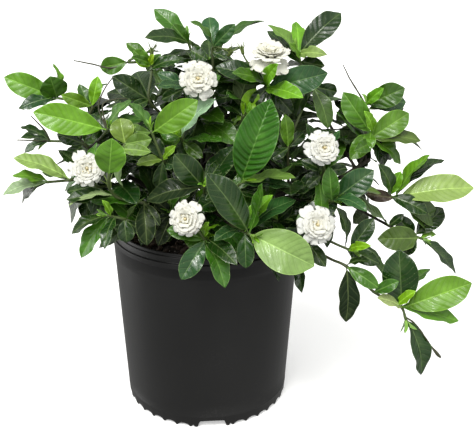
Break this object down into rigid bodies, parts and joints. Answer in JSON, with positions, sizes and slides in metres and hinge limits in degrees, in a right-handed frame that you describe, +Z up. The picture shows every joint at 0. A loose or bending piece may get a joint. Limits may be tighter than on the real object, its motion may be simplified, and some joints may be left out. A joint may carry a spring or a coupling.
{
  "type": "potted gardenia shrub",
  "caption": "Bushy flowering shrub with whorled glossy leaves and double white blooms, standing in a round black nursery pot of potting mix.",
  "frame": {"origin": "middle of the pot's underside, on the surface that the pot stands on", "axes": "+Z up, -Y the front as pictured, +X to the right as seen from the front"},
  "size_m": [0.6043, 0.437, 0.5565],
  "materials": {
    "pot": "matte black moulded polyethylene with a faint pebble grain",
    "soil": "loose bark and peat potting mix",
    "bark": "grey-brown bark, green-brown on young twigs",
    "leaf": "leathery, glossy above and pale matte below",
    "petal": "waxy matte white",
    "stamen": "dull cream and tan"
  },
  "bodies": {
    "root": {"bloom_left": "petal", "bloom_low_left": "petal", "bloom_low_right": "petal", "bloom_right": "petal", "bloom_top": "petal", "bloom_upper": "petal", "pot": "pot", "shoot_back_foot": "leaf", "shoot_back_left": "leaf", "shoot_back_low_left": "leaf", "shoot_back_low_right": "leaf", "shoot_back_middle": "leaf", "shoot_back_right": "leaf", "shoot_back_top": "leaf", "shoot_behind_hero": "leaf", "shoot_beside_hero": "leaf", "shoot_centre_gloss": "leaf", "shoot_centre_left": "leaf", "shoot_centre_low": "leaf", "shoot_drooping": "leaf", "shoot_far_left": "leaf", "shoot_far_right": "leaf", "shoot_front_hero": "leaf", "shoot_front_low": "leaf", "shoot_left_big": "leaf", "shoot_left_bloom": "leaf", "shoot_left_far": "leaf", "shoot_left_low": "leaf", "shoot_left_upper": "leaf", "shoot_low_bloom": "leaf", "shoot_low_left": "leaf", "shoot_right_bloom": "leaf", "shoot_right_dark": "leaf", "shoot_right_low": "leaf", "shoot_right_middle": "leaf", "shoot_right_pale": "leaf", "shoot_right_rear": "leaf", "shoot_right_upper": "leaf", "shoot_rim_front": "leaf", "shoot_rim_left": "leaf", "shoot_rim_right": "leaf", "shoot_tall_hero": "leaf", "shoot_top_bloom": "leaf", "shoot_top_left": "leaf", "shoot_top_middle": "leaf", "shoot_top_right": "leaf", "shoot_upper_bloom": "leaf", "shoot_upper_left": "leaf", "soil": "soil", "stamens_left": "stamen", "stamens_low_left": "stamen", "stamens_low_right": "stamen", "stamens_right": "stamen", "stamens_top": "stamen", "stamens_upper": "stamen", "wood_back": "bark", "wood_front": "bark", "wood_left": "bark", "wood_right": "bark", "wood_top": "bark"}
  },
  "joints": []
}
